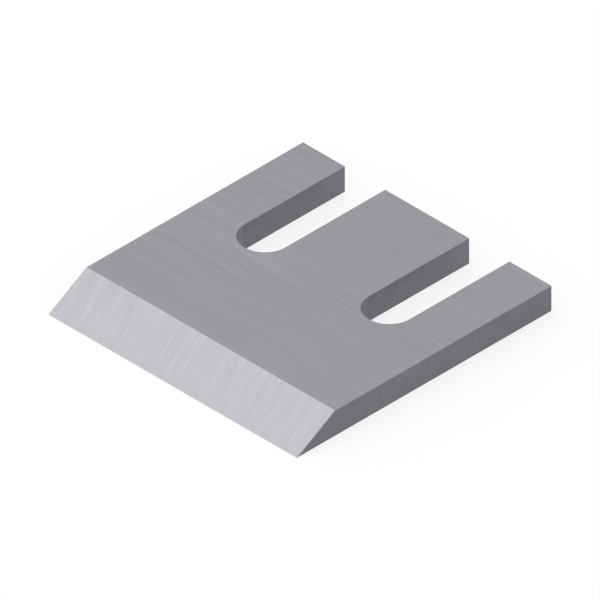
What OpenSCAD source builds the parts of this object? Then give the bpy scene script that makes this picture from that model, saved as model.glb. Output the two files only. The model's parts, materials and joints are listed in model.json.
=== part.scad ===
// Shredder blade: a flat steel plate with one ground cutting bevel along its front
// and two bolt slots that open at the rear.
// Millimetres, +Z up. The underside lies on Z = 0, the cutting edge runs along X at the
// front (-Y), and the origin is at the middle of the underside's bounding rectangle.

/* [Plate] */
// Width along the cutting edge
blade_w = 124; // [104:1:180]
// Depth from the cutting edge to the rear ends
blade_d = 127; // [110:1:200]
// Thickness of the plate
blade_t = 11; // [6:0.5:16]

/* [Cutting bevel] */
// Angle between the bevel and the underside, in degrees
bevel_angle = 30; // [25:1:60]

/* [Bolt slots] */
// Width of each slot, which is also the diameter of its round end
slot_w = 20; // [10:0.5:28]
// Depth of each slot, from the rear ends to the bottom of its round end
slot_depth = 60; // [30:1:80]
// Distance between the centre lines of the two slots
slot_pitch = 62; // [46:1:76]

/* [Edges] */
// Leg of the 45 degree chamfer on every edge but the cutting edge and the bevel's ridge
edge_break = 0.2; // [0.1:0.1:1]

/* [Hidden] */

// Sides of the circle that a slot's round end is drawn with
slot_fn = 96;
// How far a cutter runs past the faces that it cuts through
cut_over = 3;
// Ground tool steel, as the plate's top face shows it
steel = [0.60, 0.605, 0.62];

front_y = -blade_d / 2;
rear_y = blade_d / 2;
side_x = blade_w / 2;

// Depth of the bevel, seen from above, and its length up the slope
bevel_run = blade_t / tan(bevel_angle);
bevel_l = blade_t / sin(bevel_angle);

slot_r = slot_w / 2;
// Each slot's centre line, and the centre of its round end
slot_xs = [-slot_pitch / 2, slot_pitch / 2];
slot_centre_y = rear_y - slot_depth + slot_r;

// The plate's two flat faces, each as its height and its outward direction along Z
flat_faces = [[0, -1], [blade_t, 1]];

// The plate's section across the cutting edge, as (Y, Z): square at the rear and
// ground to a sharp edge along the underside at the front.
module blade_section() {
    polygon([
        [front_y, 0],
        [rear_y, 0],
        [rear_y, blade_t],
        [front_y + bevel_run, blade_t]
    ]);
}

// The section carried across the full width.
module bevelled_plate() {
    rotate([90, 0, 90])
        linear_extrude(height = blade_w, center = true)
            blade_section();
}

// Half of a slot's section, as (distance from its centre line, Z). The wall is upright,
// and flares by the edge break where it meets the plate's two faces.
module slot_half_section() {
    mouth_r = slot_r + edge_break;
    polygon([
        [0, -cut_over],
        [mouth_r, -cut_over],
        [mouth_r, 0],
        [slot_r, edge_break],
        [slot_r, blade_t - edge_break],
        [mouth_r, blade_t],
        [mouth_r, blade_t + cut_over],
        [0, blade_t + cut_over]
    ]);
}

// One slot, with the centre of its round end at the origin: the half section turned
// about that centre, and carried straight back past the rear ends.
module bolt_slot() {
    channel_l = slot_depth - slot_r + cut_over;
    rotate_extrude($fn = slot_fn)
        slot_half_section();
    translate([0, channel_l, 0])
        rotate([90, 0, 0])
            linear_extrude(height = channel_l) {
                slot_half_section();
                mirror([1, 0])
                    slot_half_section();
            }
}

// A square bar along Z that takes a 45 degree chamfer of the edge break off an edge of the
// plate at the origin. It stands on its corner and is shifted by the edge break out of both
// faces, towards out = [x, y], so that only one of its sides cuts. Its radius is the
// chamfer's leg and the two shifts together.
module edge_bar(length, out) {
    translate(edge_break * out)
        cylinder(r = 3 * edge_break, h = length + 2 * cut_over, center = true, $fn = 4);
}

// The bars along every edge that is broken, apart from those along the slots.
module edge_breaks() {
    for (side = [-1, 1]) {
        // Along the plate's sides
        for (face = flat_faces)
            translate([side * side_x, 0, face[0]])
                rotate([90, 0, 0])
                    edge_bar(blade_d, [side, face[1]]);
        // Up the ends of the bevel
        translate([side * side_x, front_y + bevel_run / 2, blade_t / 2])
            rotate([bevel_angle - 90, 0, 0])
                edge_bar(bevel_l, [side, -1]);
        // Upright at the rear: the plate's own corners, and those of each slot's mouth
        translate([side * side_x, rear_y, blade_t / 2])
            edge_bar(blade_t, [side, 1]);
        for (x = slot_xs)
            translate([x + side * slot_r, rear_y, blade_t / 2])
                edge_bar(blade_t, [-side, 1]);
    }
    // Across the rear
    for (face = flat_faces)
        translate([0, rear_y, face[0]])
            rotate([0, 90, 0])
                edge_bar(blade_w, [-face[1], 1]);
}

module blade() {
    color(steel)
        difference() {
            bevelled_plate();
            for (x = slot_xs)
                translate([x, slot_centre_y, 0])
                    bolt_slot();
            edge_breaks();
        }
}

blade();
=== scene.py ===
# %% [markdown]
# # A shredder blade in ground tool steel
#
# The blade is one flat plate. Its front is ground to a cutting edge, and two slots that
# open at the rear take the bolts that clamp it to its holder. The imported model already
# holds its exact form, so this script loads that model first and measures everything from
# it. What is left to Blender is what grinding and milling leave behind: edges that are
# broken rather than sharp, and a different finish on each kind of face.

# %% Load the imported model
import json
import math

import bpy
import numpy as np
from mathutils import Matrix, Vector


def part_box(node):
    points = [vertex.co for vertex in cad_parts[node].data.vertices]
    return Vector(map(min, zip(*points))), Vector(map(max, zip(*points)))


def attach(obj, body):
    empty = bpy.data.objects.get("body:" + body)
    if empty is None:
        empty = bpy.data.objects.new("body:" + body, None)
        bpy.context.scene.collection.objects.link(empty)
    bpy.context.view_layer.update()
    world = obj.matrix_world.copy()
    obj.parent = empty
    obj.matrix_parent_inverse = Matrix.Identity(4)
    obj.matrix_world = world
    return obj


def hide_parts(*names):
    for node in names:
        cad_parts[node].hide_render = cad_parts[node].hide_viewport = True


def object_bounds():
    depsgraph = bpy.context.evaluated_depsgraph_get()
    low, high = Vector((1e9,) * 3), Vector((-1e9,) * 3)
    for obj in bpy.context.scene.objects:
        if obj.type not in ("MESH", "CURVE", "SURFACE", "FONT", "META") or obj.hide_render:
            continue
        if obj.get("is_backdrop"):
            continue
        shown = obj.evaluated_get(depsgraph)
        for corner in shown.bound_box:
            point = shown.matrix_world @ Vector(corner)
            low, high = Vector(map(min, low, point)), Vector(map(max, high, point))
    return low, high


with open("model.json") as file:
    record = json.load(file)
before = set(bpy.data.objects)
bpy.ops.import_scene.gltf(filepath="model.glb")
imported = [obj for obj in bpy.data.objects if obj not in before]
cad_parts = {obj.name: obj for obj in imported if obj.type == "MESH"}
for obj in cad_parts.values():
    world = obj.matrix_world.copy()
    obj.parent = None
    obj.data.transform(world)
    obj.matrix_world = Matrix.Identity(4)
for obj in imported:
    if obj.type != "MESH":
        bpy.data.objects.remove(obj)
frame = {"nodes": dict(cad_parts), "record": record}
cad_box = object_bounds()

print("packed model, in metres:", [tuple(round(v, 4) for v in end) for end in cad_box])

# %% [markdown]
# ## The sizes that drive the shape
#
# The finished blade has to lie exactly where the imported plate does. Its sizes could be
# typed in again from a drawing, but a size that stands in two places can differ, so all of
# them are measured here. The plate's box gives its width, depth and thickness. The
# foremost point of its top face is on the ridge, where the bevel begins, and that gives
# the bevel's angle.

# %% Measure the plate and its bevel
MM = 0.001

low, high = (np.array(end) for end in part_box("blade"))
half_width = high[0]
front_y, rear_y = low[1], high[1]
thickness = high[2]

packed = frame["nodes"]["blade"].data
packed_points = np.empty(3 * len(packed.vertices), np.float32)
packed.vertices.foreach_get("co", packed_points)
packed_points = packed_points.reshape(-1, 3)
on_top = np.isclose(packed_points[:, 2], thickness, atol=1e-6)
ridge_y = float(packed_points[on_top, 1].min())
bevel_angle = math.atan2(thickness, ridge_y - front_y)

print(f"plate {2 * half_width / MM:.1f} x {(rear_y - front_y) / MM:.1f} x {thickness / MM:.1f} mm,"
      f" bevel at {math.degrees(bevel_angle):.1f} degrees")

# %% [markdown]
# The record's two bolt seats give the slots: each seat stands at the centre of a slot's
# round end and has its radius. A seat is only as long as the wall beside it is upright, so
# the rest of the thickness is two chamfers. Deburring leaves a round rather than a flat,
# so each edge gets a round that begins and ends where its chamfer does. The round's radius
# is then the chamfer's leg.

# %% Measure the slots and the edges
seats = [mount for mount in frame["record"]["mounts"] if mount["name"].endswith("_seat")]
slot_xs = sorted(seat["pos_m"][0] for seat in seats)
slot_y = seats[0]["pos_m"][1]
slot_radius = seats[0]["dims"]["r_mm"] * MM
edge_radius = (thickness - seats[0]["dims"]["length_mm"] * MM) / 2

print(f"slots {2 * slot_radius / MM:.1f} mm wide, {(slot_xs[1] - slot_xs[0]) / MM:.1f} mm apart,"
      f" and edges of radius {edge_radius / MM:.2f} mm")

# %% [markdown]
# ## The camera
#
# The blade is seen in true isometric view: all three axes look equally foreshortened, and
# parallel edges stay parallel. A long lens on a far-off camera comes close to that, and an
# orthographic camera on the diagonal of a cube gives it exactly. Its scale is the width of
# the view in metres. Along an axis, an isometric view shows the square root of 2/3 of the
# true length, so the length of the cutting edge in the picture fixes that scale.

# %% Place the camera
PICTURE_WIDTH_PX = 600
CUTTING_EDGE_PX = 287.1
CAMERA_DISTANCE = 1.0

towards_camera = np.array([1, -1, 1]) / math.sqrt(3)
middle = (low + high) / 2


def aim(placed, way):
    """Turns an object so that it looks back along way: tilted down from the zenith by the
    angle whose cosine is way's height, and turned by way's bearing from the front."""
    placed.rotation_euler = (math.acos(way[2]), 0, math.atan2(way[0], -way[1]))


camera_data = bpy.data.cameras.new("isometric_camera")
camera_data.type = "ORTHO"
camera_data.ortho_scale = PICTURE_WIDTH_PX / CUTTING_EDGE_PX * 2 * half_width * math.sqrt(2 / 3)
camera = bpy.data.objects.new("isometric_camera", camera_data)
camera.location = middle + CAMERA_DISTANCE * towards_camera
aim(camera, towards_camera)
bpy.context.collection.objects.link(camera)
bpy.context.scene.camera = camera

print(f"camera {math.degrees(math.asin(towards_camera[2])):.2f} degrees up,"
      f" with a view {camera_data.ortho_scale / MM:.1f} mm across")

# %% [markdown]
# ## A plate from a few sheets
#
# The real plate is cut from bar and then ground. In Blender it could be a cube with
# cutters taken out of it, but that leaves long thin triangles and edges as sharp as paper.
# Here it is sewn from sheets, each of them a grid of points that is a function of two
# parameters. First come the rows, from the cutting edge to the rear. Room for the broken
# edges is kept from the start: each edge follows a small ball that is rolled along inside
# it. Near the cutting edge the wedge is too thin for the full ball, so it shrinks there.

# %% Set out the rows
TIP_ROWS, BEVEL_ROWS, BODY_ROWS, FINGER_ROWS = 3, 8, 24, 18
# Share of the largest ball that fits in the tip of the wedge
TIP_FILL = 0.9


def rim_radius(y):
    """Radius of the broken edge at y: full along the plate, and shrinking in proportion to
    the distance from the cutting edge where the wedge can't hold the full ball."""
    largest = (y - front_y) * math.tan(bevel_angle / 2)
    return np.minimum(edge_radius, TIP_FILL * largest)


def top_height(y):
    """Height of the upper surface at y: up the bevel to the ridge, and level behind it."""
    return np.minimum((y - front_y) * math.tan(bevel_angle), thickness)


full_ball_y = front_y + edge_radius / TIP_FILL / math.tan(bevel_angle / 2)
tip_ys = np.linspace(front_y, full_ball_y, TIP_ROWS)
slope_ys = np.linspace(full_ball_y, ridge_y, BEVEL_ROWS)
bevel_ys = np.concatenate([tip_ys, slope_ys[1:]])
finger_ys = np.linspace(slot_y, rear_y - edge_radius, FINGER_ROWS)

print(f"rows: {len(bevel_ys)} up the bevel, {BODY_ROWS} to the slots, {FINGER_ROWS} beside them")

# %% [markdown]
# The columns run from the front towards the rear. Those that meet a slot stop at its round
# end, and the others go on into the three fingers between and beside the slots. At a slot
# they are set out by equal angles, which spaces their ends evenly round it. At the front
# they are set out by equal widths, so that no square is thinner than it has to be, and
# from the ridge on each column drifts sideways to its own place on the slot.

# %% Set out the columns
SIDE_COLUMNS, MIDDLE_COLUMNS, SLOT_COLUMNS = 8, 16, 32

side_x = half_width - edge_radius
rim_slot = slot_radius + edge_radius
slot_angles = np.linspace(math.pi, 2 * math.pi, SLOT_COLUMNS + 1)
slot_columns = [x + rim_slot * np.cos(slot_angles) for x in slot_xs]
finger_columns = [
    np.linspace(-side_x, slot_columns[0][0], SIDE_COLUMNS + 1),
    np.linspace(slot_columns[0][-1], slot_columns[1][0], MIDDLE_COLUMNS + 1),
    np.linspace(slot_columns[1][-1], side_x, SIDE_COLUMNS + 1),
]


def in_a_row(slots):
    """All columns from left to right: fingers and slots by turns, with none of them twice."""
    inner = [xs[1:-1] for xs in slots]
    return np.concatenate([
        finger_columns[0], inner[0], finger_columns[1], inner[1], finger_columns[2],
    ])


columns = in_a_row(slot_columns)
front_columns = in_a_row([np.linspace(xs[0], xs[-1], len(xs)) for xs in slot_columns])
off_slot = np.min([np.abs(columns - x) for x in slot_xs], axis=0)
column_ends = slot_y - np.sqrt(np.maximum(rim_slot**2 - off_slot**2, 0))

print(f"columns: {len(columns)}, of which {np.count_nonzero(off_slot < rim_slot)} end at a slot")

# %% [markdown]
# ## The level faces and the bevel
#
# Top, underside and bevel are dead flat on the real blade. Blender can work out by itself
# which way each point faces, but a flat face beside a small round then borrows some of the
# round's slope, and its shading runs where it should be even. So each sheet keeps the true
# direction at each of its points. It also keeps a place in metres for its machining marks,
# across the blade and back over the surface, which becomes its UV map.

# %% Keep a sheet
FACE, BEVEL, WALL = range(3)
sheets = []


def add_sheet(points, facing, marks, finish, edge=0.0):
    """Keeps one grid of points with its directions, its places for machining marks, its
    finish, and how far each point is into a broken edge (0 on a face, 1 mid-edge)."""
    rows, cols = points.shape[:2]
    sheets.append({
        "points": points,
        "facing": np.broadcast_to(facing, (rows, cols, 3)),
        "marks": np.broadcast_to(marks, (rows, cols, 2)),
        "edge": np.broadcast_to(edge, (rows, cols)),
        "finish": finish,
    })


def grid(x, y, z):
    """Points from three arrays that broadcast to rows by columns."""
    return np.stack(np.broadcast_arrays(x, y, z), axis=-1)


print("finishes: ground faces, bevel and walls are numbered", FACE, BEVEL, WALL)

# %% Lay out the flat sheets
UP, DOWN = np.array([0.0, 0, 1]), np.array([0.0, 0, -1])
ON_FLOOR = [1, 1, 0]
bevel_up = np.array([0, -math.sin(bevel_angle), math.cos(bevel_angle)])

# The outermost columns of the wedge follow the ball as it shrinks
wedge_x = np.tile(front_columns, (len(bevel_ys), 1))
wedge_x[:, -1] = half_width - rim_radius(bevel_ys)
wedge_x[:, 0] = -wedge_x[:, -1]
wedge = grid(wedge_x, bevel_ys[:, None], top_height(bevel_ys)[:, None])
up_the_slope = (wedge[..., 1] - front_y) / math.cos(bevel_angle)
add_sheet(wedge, bevel_up, np.stack([wedge_x, up_the_slope], axis=-1), BEVEL)
add_sheet(wedge * ON_FLOOR, DOWN, wedge[..., :2], FACE)

part_way = np.linspace(0, 1, BODY_ROWS)[:, None]
body_x = front_columns + part_way * (columns - front_columns)
body = grid(body_x, ridge_y + part_way * (column_ends - ridge_y), thickness)
fingers = [grid(xs, finger_ys[:, None], thickness) for xs in finger_columns]
for sheet in [body, *fingers]:
    add_sheet(sheet, UP, sheet[..., :2], FACE)
    add_sheet(sheet * ON_FLOOR, DOWN, sheet[..., :2], FACE)

print(f"{len(sheets)} flat sheets with {sum(s['edge'].size for s in sheets)} points")

# %% [markdown]
# ## The walls and their broken edges
#
# Sides, rear ends and slots are one wall that goes round the plate from one end of the
# cutting edge to the other. A Bevel modifier could round its edges, but it would run into
# itself where the wedge thins out to nothing. The rolling ball copes with that. Where it
# touches a face, the face ends; where it touches the wall, the wall begins; and between
# the two, the ball itself is the broken edge. So the wall is a profile carried along a
# path. The path is the rim of the sheets above, in three kinds of run, and at each of its
# points only the outward direction is needed too.

# %% Three kinds of run along the rim
CORNER_STEPS = 4


def straight(xs, ys, outward):
    """A straight run of the rim: its points, and one outward direction for all of them."""
    places = np.stack(np.broadcast_arrays(xs, ys), axis=-1)
    return places, np.broadcast_to(outward, places.shape)


def square_corner(x, y, start, end):
    """A square corner: the ball stays at one point, and outward turns from start to end,
    as start times the cosine of the turn plus end times its sine."""
    angles = np.linspace(0, math.pi / 2, CORNER_STEPS + 1)[1:-1, None]
    outward = np.cos(angles) * start + np.sin(angles) * end
    return np.broadcast_to([x, y], outward.shape), outward


def round_end(x):
    """The round end of the slot at x: points on its circle, with outward to its centre."""
    circle = np.stack([np.cos(slot_angles), np.sin(slot_angles)], axis=-1)
    return [x, slot_y] + rim_slot * circle, -circle


print(f"a round end has {len(slot_angles)} points, and a corner {CORNER_STEPS - 1} between its ends")

# %% Go round the rim
left, right, back = np.array([-1.0, 0]), np.array([1.0, 0]), np.array([0.0, 1])
stop_y = finger_ys[-1]
side_ys = np.concatenate([bevel_ys, body[1:, 0, 1], finger_ys[1:]])
side_xs = half_width - rim_radius(side_ys)

runs = [straight(-side_xs, side_ys, left)]
for number, xs in enumerate(finger_columns):
    runs.append(square_corner(xs[0], stop_y, left, back))
    runs.append(straight(xs, stop_y, back))
    runs.append(square_corner(xs[-1], stop_y, back, right))
    if number < len(slot_xs):
        near, far = slot_columns[number][[0, -1]]
        runs.append(straight(near, finger_ys[:0:-1], right))
        runs.append(round_end(slot_xs[number]))
        runs.append(straight(far, finger_ys[1:], left))
runs.append(straight(side_xs[::-1], side_ys[::-1], right))

rim = np.concatenate([places for places, _ in runs])
outward = np.concatenate([way for _, way in runs])
outward = np.pad(outward, ((0, 0), (0, 1)))

print(f"the rim has {len(rim)} points in {len(runs)} runs")

# %% [markdown]
# A quarter turn of the ball goes from the face to the wall. At an angle into that turn, a
# point has sunk by the radius times one minus the cosine, and moved out by the radius
# times the sine. On the ridge, two faces meet above the wall: there the ball sinks along
# their mitre, which reaches equally far along both of them.

# %% Shape the wall
ROUND_STEPS, WALL_STEPS = 4, 4
radius = rim_radius(rim[:, 1])[:, None, None]


def quarter_turn(start, inward, angles):
    """Points of a broken edge: rim points sunk along inward by radius * (1 - cos), and
    moved along outward by radius * sin, as rim points by angles."""
    sink = (1 - np.cos(angles))[:, None] * inward[:, None]
    reach = np.sin(angles)[:, None] * outward[:, None]
    return start[:, None] + radius * (sink + reach)


rim_y = rim[:, 1:]
mitre = (bevel_up + UP) / (1 + bevel_up @ UP)
face_up = np.where(rim_y < ridge_y, bevel_up, UP)
face_up = np.where(np.isclose(rim_y, ridge_y), mitre, face_up)

turn = np.linspace(0, math.pi / 2, ROUND_STEPS + 1)
upper = quarter_turn(np.column_stack([rim, top_height(rim_y)]), -face_up, turn)
lower = quarter_turn(np.pad(rim, ((0, 0), (0, 1))), UP[None], turn[::-1])
drop = np.linspace(0, 1, WALL_STEPS + 1)[1:-1, None]
between = upper[:, -1:] + drop * (lower[:, :1] - upper[:, -1:])
wall = np.concatenate([upper, between, lower], axis=1)

print(f"the wall has {wall.shape[0]} points along it by {wall.shape[1]} down it")

# %% [markdown]
# A point on the wall faces outwards by the sine of its turn, and up or down by the
# cosine. The product of the two, doubled, is 1 in the middle of a broken edge and 0 at
# both of its ends, so it serves to show where metal is rubbed bright.

# %% Say where the wall faces
out_share = np.concatenate([np.sin(turn), np.ones(len(drop)), np.sin(turn[::-1])])[:, None]
face_share = np.sqrt(1 - out_share**2)
is_upper = (np.arange(len(out_share)) <= ROUND_STEPS)[:, None]
nearest_face = np.where(is_upper, face_up[:, None], DOWN)
wall_facing = out_share * outward[:, None] + face_share * nearest_face
wall_facing /= np.linalg.norm(wall_facing, axis=-1, keepdims=True)

wall_steps = np.linalg.norm(np.diff(wall[:, ROUND_STEPS], axis=0), axis=-1)
along_wall = np.concatenate([[0], np.cumsum(wall_steps)])[:, None]
wall_marks = np.stack(np.broadcast_arrays(along_wall, wall[..., 2]), axis=-1)
add_sheet(wall, wall_facing, wall_marks, WALL, edge=(2 * out_share * face_share)[:, 0])

print(f"the wall is {along_wall[-1, 0] / MM:.0f} mm long")

# %% [markdown]
# ## Sewing the sheets together
#
# The real plate has no seams, and neither may the mesh. Blender could join the sheets as
# objects and merge the points that meet, but the directions kept so far would not survive
# that. With arrays it is a matter of numbering: all points go into one list, and all
# squares into another. Each square is turned to face as its sheet does.

# %% List all points and squares


def squares(sheet, first):
    """The grid's squares as four point numbers each, counted from first. The cross product
    of its diagonals says how a square faces, and one that faces inwards is reversed."""
    rows, cols = sheet["points"].shape[:2]
    number = first + np.arange(rows * cols).reshape(rows, cols)
    found = np.stack([number[:-1, :-1], number[:-1, 1:], number[1:, 1:], number[1:, :-1]], axis=-1)
    place, way = sheet["points"], sheet["facing"]
    across = np.cross(place[1:, 1:] - place[:-1, :-1], place[1:, :-1] - place[:-1, 1:])
    agrees = (across * (way[1:, 1:] + way[:-1, :-1])).sum(axis=-1) >= 0
    return np.where(agrees[..., None], found, found[..., ::-1]).reshape(-1, 4)


def gathered(name, width):
    """One array of all the sheets' values of that name, point by point."""
    return np.concatenate([sheet[name].reshape(-1, width) for sheet in sheets])


points, facing = gathered("points", 3), gathered("facing", 3)
marks, edge = gathered("marks", 2), gathered("edge", 1)[:, 0]

firsts = np.cumsum([0] + [sheet["edge"].size for sheet in sheets])
lists = [squares(sheet, first) for sheet, first in zip(sheets, firsts)]
quads = np.concatenate(lists)
finishes = np.repeat([sheet["finish"] for sheet in sheets], [len(found) for found in lists])

print(f"{len(points)} points and {len(quads)} squares")

# %% [markdown]
# Neighbouring sheets share their border points, so points at the same place become one.
# At the corners, and at the ends of the cutting edge, a side of a square can shrink to
# nothing: such a square becomes a triangle, or goes. A solid is closed when each edge
# belongs to exactly two faces, which is counted here rather than hoped for.

# %% Weld the points
# Grid in metres to which places are rounded before they are compared
WELD = 1e-7

_, kept, same = np.unique(
    np.round(points / WELD).astype(np.int64), axis=0, return_index=True, return_inverse=True
)
repeated = same[quads] == same[np.roll(quads, -1, axis=1)]
four, three = repeated.sum(axis=1) == 0, repeated.sum(axis=1) == 1
triangles = quads[three][~repeated[three]].reshape(-1, 3)
corners = np.concatenate([quads[four].ravel(), triangles.ravel()])
faces = [*same[quads[four]].tolist(), *same[triangles].tolist()]

pairs = [np.stack([face, np.roll(face, -1, axis=1)], axis=-1) for face in (quads[four], triangles)]
sides = np.sort(same[np.concatenate([pair.reshape(-1, 2) for pair in pairs])], axis=1)
_, uses = np.unique(sides, axis=0, return_counts=True)

print(f"{len(kept)} points, {len(faces)} faces, {len(uses)} edges,"
      f" {np.count_nonzero(uses != 2)} of them open")

# %% [markdown]
# The lists now become a mesh. Points and faces could be added to it one by one, but Python
# is slow at that, so whole arrays are handed over at once. Where two sheets meet, one point
# can have two directions and two places for marks, so both are kept at the corners of the
# faces. How far a point is into a broken edge is one number for all its faces, so that is
# kept at the point.

# %% Make the mesh
mesh = bpy.data.meshes.new("ground_blade")
mesh.from_pydata(points[kept], [], faces)
mesh.polygons.foreach_set("material_index", np.concatenate([finishes[four], finishes[three]]))
mesh.shade_smooth()

mark_map = mesh.uv_layers.new(name="marks")
mark_map.uv.foreach_set("vector", marks[corners].astype(np.float32).ravel())
broken_edge = mesh.attributes.new("broken_edge", "FLOAT", "POINT")
broken_edge.data.foreach_set("value", edge[kept].astype(np.float32))
mesh.normals_split_custom_set(facing[corners])

print(f"mesh {mesh.name} with UV map {mesh.uv_layers[0].name} and {len(mesh.polygons)} faces")

# %% [markdown]
# ## Writing finishes as expressions
#
# A finish in Blender is a network of nodes, and most of it is arithmetic. Made node by
# node and link by link, it takes pages and hides its formula, so two small classes let it
# be written as a formula. A wire stands for the output of a node, and adding or
# multiplying wires adds Math nodes.

# %% Wires


class Wire:
    """The output of a node. Arithmetic on wires and numbers adds Math nodes."""

    def __init__(self, network, socket):
        self.network = network
        self.socket = socket

    def maths(self, operation, first, second):
        """First and second joined by a Math node's operation."""
        return self.network.node("ShaderNodeMath", {"operation": operation}, {0: first, 1: second})

    def __add__(self, other):
        return self.maths("ADD", self, other)

    def __sub__(self, other):
        return self.maths("SUBTRACT", self, other)

    def __rsub__(self, other):
        return self.maths("SUBTRACT", other, self)

    def __mul__(self, other):
        return self.maths("MULTIPLY", self, other)

    def __truediv__(self, other):
        return self.maths("DIVIDE", self, other)

    def __rtruediv__(self, other):
        return self.maths("DIVIDE", other, self)

    __radd__ = __add__
    __rmul__ = __mul__


print("wires add, subtract, multiply and divide")

# %% [markdown]
# Any other node comes from one method of the network, which takes the node's type, its
# settings, and the values or wires for its sockets. The class also holds the few phrases
# that the three finishes share.

# %% Networks
GRAIN_DETAIL, GRAIN_ROUGHNESS = 5.0, 0.65
# Heights of plain grain at which a stray mark begins and is full
STRAY_FROM, STRAY_FULL = 0.16, 0.26


class Network:
    """The nodes of a material or a world."""

    def __init__(self, owner):
        owner.use_nodes = True
        self.tree = owner.node_tree
        self.tree.nodes.clear()

    def node(self, kind, settings=None, inputs=None, output=0):
        """Adds a node, makes its settings, fills its sockets by name or number, and gives
        back a wire from one of its outputs, if it has any."""
        made = self.tree.nodes.new(kind)
        for name, value in (settings or {}).items():
            setattr(made, name, value)
        for name, value in (inputs or {}).items():
            if isinstance(value, Wire):
                self.tree.links.new(value.socket, made.inputs[name])
            else:
                made.inputs[name].default_value = value
        return Wire(self, made.outputs[output]) if made.outputs else None

    def parts(self, vector):
        """The x and y of a vector, as two wires."""
        return [self.node("ShaderNodeSeparateXYZ", None, {0: vector}, axis) for axis in "XY"]

    def shade(self, colour, amount):
        """A colour made lighter or darker: the colour times the amount."""
        return self.node("ShaderNodeVectorMath", {"operation": "SCALE"}, {0: colour, "Scale": amount})

    def blend(self, factor, first, second):
        """The first colour where factor is 0, and the second where it is 1."""
        return self.node("ShaderNodeMix", {"data_type": "RGBA"}, {0: factor, 6: first, 7: second}, 2)

    def grain(self, place, cell_mm, detail=GRAIN_DETAIL):
        """Noise from -0.5 to 0.5 whose cells are as long and as wide as cell_mm says, with
        ever finer noise added to it as often as detail says."""
        x, y = (part / (size * MM) for part, size in zip(place, cell_mm))
        cell = self.node("ShaderNodeCombineXYZ", None, {"X": x, "Y": y})
        inputs = {"Vector": cell, "Scale": 1.0, "Detail": detail, "Roughness": GRAIN_ROUGHNESS}
        return self.node("ShaderNodeTexNoise", {"noise_dimensions": "2D"}, inputs) - 0.5

    def stray(self, place, cell_mm):
        """Plain grain that is cut off low: 0 over most of the surface, and 1 on the few
        places where it stands highest."""
        height = self.grain(place, cell_mm, detail=0.0)
        inputs = {"Value": height, "From Min": STRAY_FROM, "From Max": STRAY_FULL}
        return self.node("ShaderNodeMapRange", None, inputs)


print("a network shades and blends colours, and makes grain and stray marks")

# %% [markdown]
# ## Bare steel
#
# All three finishes are the same metal with different marks. Its colour is lighter or
# darker from mark to mark, its gloss changes with them, and they have a depth. The marks
# could lie along the blade's own axes, but then they would smear over surfaces that turn
# away from these. They follow the UV map instead, round the corners and up the bevel.

# %% Steel with marks on it


def marks_of(network):
    """The two parts of a surface's place for machining marks, in metres."""
    return network.parts(network.node("ShaderNodeUVMap", {"uv_map": "marks"}))


def steel(network, colour, roughness, height, depth_mm):
    """Bare metal of a colour and roughness, with marks as deep as height times depth_mm,
    and its nodes joined to the output."""
    normal = network.node("ShaderNodeBump", None, {"Distance": depth_mm * MM, "Height": height})
    surface = network.node("ShaderNodeBsdfPrincipled", None, {
        "Base Color": colour, "Metallic": 1.0, "Roughness": roughness, "Normal": normal,
    })
    network.node("ShaderNodeOutputMaterial", None, {"Surface": surface})


print("steel takes a colour, a roughness and the height of its marks")

# %% [markdown]
# ## The ground faces
#
# The top and the underside are surface ground: the plate passes to and fro under a wheel,
# which leaves fine straight lines along the cutting edge. A Wave texture would draw lines
# as even as a ruler's. Noise that is squeezed across the lines and stretched along them is
# as uneven as the real ones. A finer and a coarser layer are mixed, because no two passes
# of a wheel cut alike. A few stray lines come from grit that stood proud of the wheel, and
# a slow cloudiness lies over it all.

# %% Finish of the ground faces
FACE_COLOUR = (0.268, 0.272, 0.288)


def ground_face():
    """Fine lines along x, over a coarser lay, with stray lines and a faint cloudiness. The
    tone is 1 plus a share of each of them, and fine lines and clouds change the gloss."""
    material = bpy.data.materials.new("ground_face")
    network = Network(material)
    place = marks_of(network)
    fine = network.grain(place, cell_mm=(90, 0.9))
    coarse = network.grain(place, cell_mm=(300, 5))
    cloud = network.grain(place, cell_mm=(35, 28))
    stray = network.stray(place, cell_mm=(45, 0.35))
    tone = 1 + 0.35 * fine + 0.20 * coarse + 0.10 * cloud + 0.10 * stray
    roughness = 0.36 + 0.20 * fine + 0.10 * cloud
    steel(network, network.shade(FACE_COLOUR, tone), roughness, fine + coarse, depth_mm=0.012)
    return material


mesh.materials.append(ground_face())
print("finish:", mesh.materials[FACE].name)

# %% [markdown]
# ## The bevel
#
# The bevel is ground last, by the rim of a cup wheel that swings across it. Its lines run
# from the cutting edge up to the ridge, lean a little, and bow slightly, as parts of a
# large circle do. They could be worked out as true arcs about the wheel's centre. Over so
# short a slope a parabola can't be told from an arc, and its formula is shorter. The bevel
# is the freshest metal on the blade, and its colour is also made lighter than the top's as
# painted light: the brightness of a face tilted up towards the light is laid into it.

# %% Finish of the bevel
# Lighter than the top's colour as painted light: a face tilted up towards the light is drawn brighter
BEVEL_FRESH_AND_LIT_COLOUR = (0.446, 0.451, 0.473)
# How far a line leans per metre up the slope, and how fast that grows
LINE_LEAN, LINE_BOW = 0.12, 2.0


def ground_bevel():
    """Lines up the slope that lean by a share of it and bow with its square, fine and
    coarse, with stray lines among them. The tone is 1 plus a share of each."""
    material = bpy.data.materials.new("ground_bevel")
    network = Network(material)
    x, up = marks_of(network)
    place = x + up * (LINE_LEAN + LINE_BOW * up), up
    fine = network.grain(place, cell_mm=(0.9, 30))
    coarse = network.grain(place, cell_mm=(4, 60))
    stray = network.stray(place, cell_mm=(0.35, 15))
    tone = 1 + 0.30 * fine + 0.15 * coarse + 0.08 * stray
    roughness = 0.32 + 0.16 * fine
    steel(network, network.shade(BEVEL_FRESH_AND_LIT_COLOUR, tone), roughness, fine + coarse, depth_mm=0.008)
    return material


mesh.materials.append(ground_bevel())
print("finish:", mesh.materials[BEVEL].name)
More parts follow.
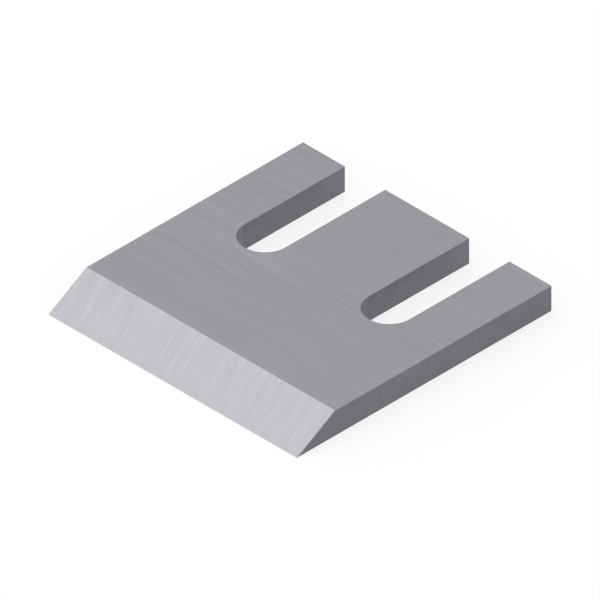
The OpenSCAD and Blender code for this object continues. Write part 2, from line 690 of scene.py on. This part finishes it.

# %% [markdown]
# ## The milled walls
#
# Sides, rear ends and slots are milled before the plate is hardened and aren't ground
# afterwards, so they keep a darker skin of hardening. Their colour is darker still as
# painted shade: the shade of walls that face sideways, away from light from above, is laid
# into it. The teeth of the mill leave upright marks along the wall, and the skin is cloudy.
# Handling rubs it off along the broken edges, in some places more than in others. Blender
# can look for edges by their curvature, but here each point already knows how far into an
# edge it is, which is exact.

# %% Finish of the walls
# Darker than the ground faces: the skin of hardening, and painted shade as on walls that face away
# from light from above
WALL_SKIN_AND_SHADE_COLOUR = (0.176, 0.180, 0.193)
EDGE_COLOUR = (0.360, 0.364, 0.382, 1)


def milled_wall():
    """Upright tooth marks along the wall, stray ones among them, and a cloudy skin, which
    is rubbed off by the broken edge's share, more where the skin is light."""
    material = bpy.data.materials.new("milled_wall")
    network = Network(material)
    place = marks_of(network)
    teeth = network.grain(place, cell_mm=(0.8, 25))
    stray = network.stray(place, cell_mm=(0.3, 9))
    skin = network.grain(place, cell_mm=(9, 7))
    broken = network.node("ShaderNodeAttribute", {"attribute_name": "broken_edge"}, None, "Fac")
    rubbed = broken * (0.9 + skin)
    # The wall's colour, darkened by painted shade, with tooth marks, stray marks and cloudy skin on
    # it
    skin_and_shade = network.shade(WALL_SKIN_AND_SHADE_COLOUR, 1 + 0.42 * teeth + 0.12 * stray + 0.25 * skin)
    roughness = 0.42 + 0.20 * teeth
    steel(network, network.blend(rubbed, skin_and_shade, EDGE_COLOUR), roughness, teeth, depth_mm=0.012)
    return material


mesh.materials.append(milled_wall())
print("finish:", mesh.materials[WALL].name)

# %% [markdown]
# ## One piece in place of the imported plate
#
# The imported plate could stay and only get a new material, but its edges are flat chamfers
# and its mesh has no map for the marks. The new plate has the same place and form, so it
# takes the place of the imported one, which is hidden, and rides on the one body that there
# is.

# %% Put the blade in place
blade = bpy.data.objects.new("ground_blade", mesh)
bpy.context.collection.objects.link(blade)
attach(blade, "root")
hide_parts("blade")

print("blade spans", [round(v / MM, 2) for v in blade.dimensions], "mm")

# %% [markdown]
# ## Floor and sky
#
# Metal shows what is around it. A picture of a studio could light it, but it would lay its
# own shapes over the flat faces. So the studio is white all round, and the steel then
# renders about as its colour is written. A Light Path node tells rays apart: those from
# the camera and from the metal see pure white. Light that falls on the floor comes from a
# slightly dimmer sky, and the floor glows only in part, so the blade keeps a soft shadow.

# %% Lay the floor
FLOOR_SIZE, FLOOR_GAP = 4.0, 0.05 * MM
FLOOR_COLOUR = (0.95, 0.95, 0.95, 1)
FLOOR_GLOW = 0.75


def seen_directly(network):
    """1 for rays that show the background, in view, in metal or through glass; else 0."""
    kinds = ["Is Camera Ray", "Is Glossy Ray", "Is Transmission Ray"]
    return sum(network.node("ShaderNodeLightPath", None, None, kind) for kind in kinds)


def white_floor():
    """A pale floor that takes shadows, mixed with pure white where it is seen."""
    material = bpy.data.materials.new("white_floor")
    network = Network(material)
    pale = network.node("ShaderNodeBsdfDiffuse", None, {"Color": FLOOR_COLOUR})
    white = network.node("ShaderNodeEmission", None, {"Strength": 1.0})
    glow = FLOOR_GLOW * seen_directly(network)
    surface = network.node("ShaderNodeMixShader", None, {0: glow, 1: pale, 2: white})
    network.node("ShaderNodeOutputMaterial", None, {"Surface": surface})
    return material


square = np.array([(-1, -1), (1, -1), (1, 1), (-1, 1)]) * FLOOR_SIZE / 2
floor_mesh = bpy.data.meshes.new("floor")
floor_mesh.from_pydata(np.insert(square, 2, -FLOOR_GAP, axis=1), [], [(0, 1, 2, 3)])
floor_mesh.materials.append(white_floor())
floor = bpy.data.objects.new("floor", floor_mesh)
bpy.context.collection.objects.link(floor)
floor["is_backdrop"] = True

print(f"floor {FLOOR_SIZE} m square, {FLOOR_GAP / MM} mm below the blade")

# %% Hang the sky
SKY_LIGHT = 0.95


def white_sky():
    """A world of strength 1 where it is seen, and SKY_LIGHT where it lights the floor."""
    world = bpy.data.worlds.new("white_studio")
    network = Network(world)
    strength = SKY_LIGHT + (1 - SKY_LIGHT) * seen_directly(network)
    inputs = {"Color": (1, 1, 1, 1), "Strength": strength}
    surface = network.node("ShaderNodeBackground", None, inputs)
    network.node("ShaderNodeOutputWorld", None, {"Surface": surface})
    return world


bpy.context.scene.world = white_sky()
print(f"sky white in view, and {SKY_LIGHT} of that as light")

# %% [markdown]
# ## The lamp
#
# One soft lamp hangs where the bevel mirrors it to the camera, so that the bevel stands
# out from the top. A small strong lamp would do that too, but it would burn a white patch
# into the bevel and leave the rest of it dark. A large dim one lights it evenly.

# %% Hang the lamp
LAMP_SIZE, LAMP_DISTANCE, LAMP_WATTS = 1.6, 0.9, 2.0
LAMP_WAY = np.array([-0.45, 0.0, 0.88])

lamp_data = bpy.data.lights.new("soft_lamp", "AREA")
lamp_data.size = LAMP_SIZE
lamp_data.energy = LAMP_WATTS
lamp = bpy.data.objects.new("soft_lamp", lamp_data)
towards_lamp = LAMP_WAY / np.linalg.norm(LAMP_WAY)
lamp.location = middle + LAMP_DISTANCE * towards_lamp
aim(lamp, towards_lamp)
bpy.context.collection.objects.link(lamp)
bpy.context.scene.view_settings.view_transform = "Standard"

print(f"lamp {LAMP_SIZE} m wide with {LAMP_WATTS} W, {LAMP_DISTANCE} m away")

# %% [markdown]
# ## Leaving the size as it was
#
# Rounding the edges may not change the blade's size, so the box of the imported plate and
# that of the finished one are written down side by side.

# %% Print the two boxes side by side
boxes = {"cad": cad_box, "visual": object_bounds()}
boxes = {name: [list(end) for end in box] for name, box in boxes.items()}
print(boxes)
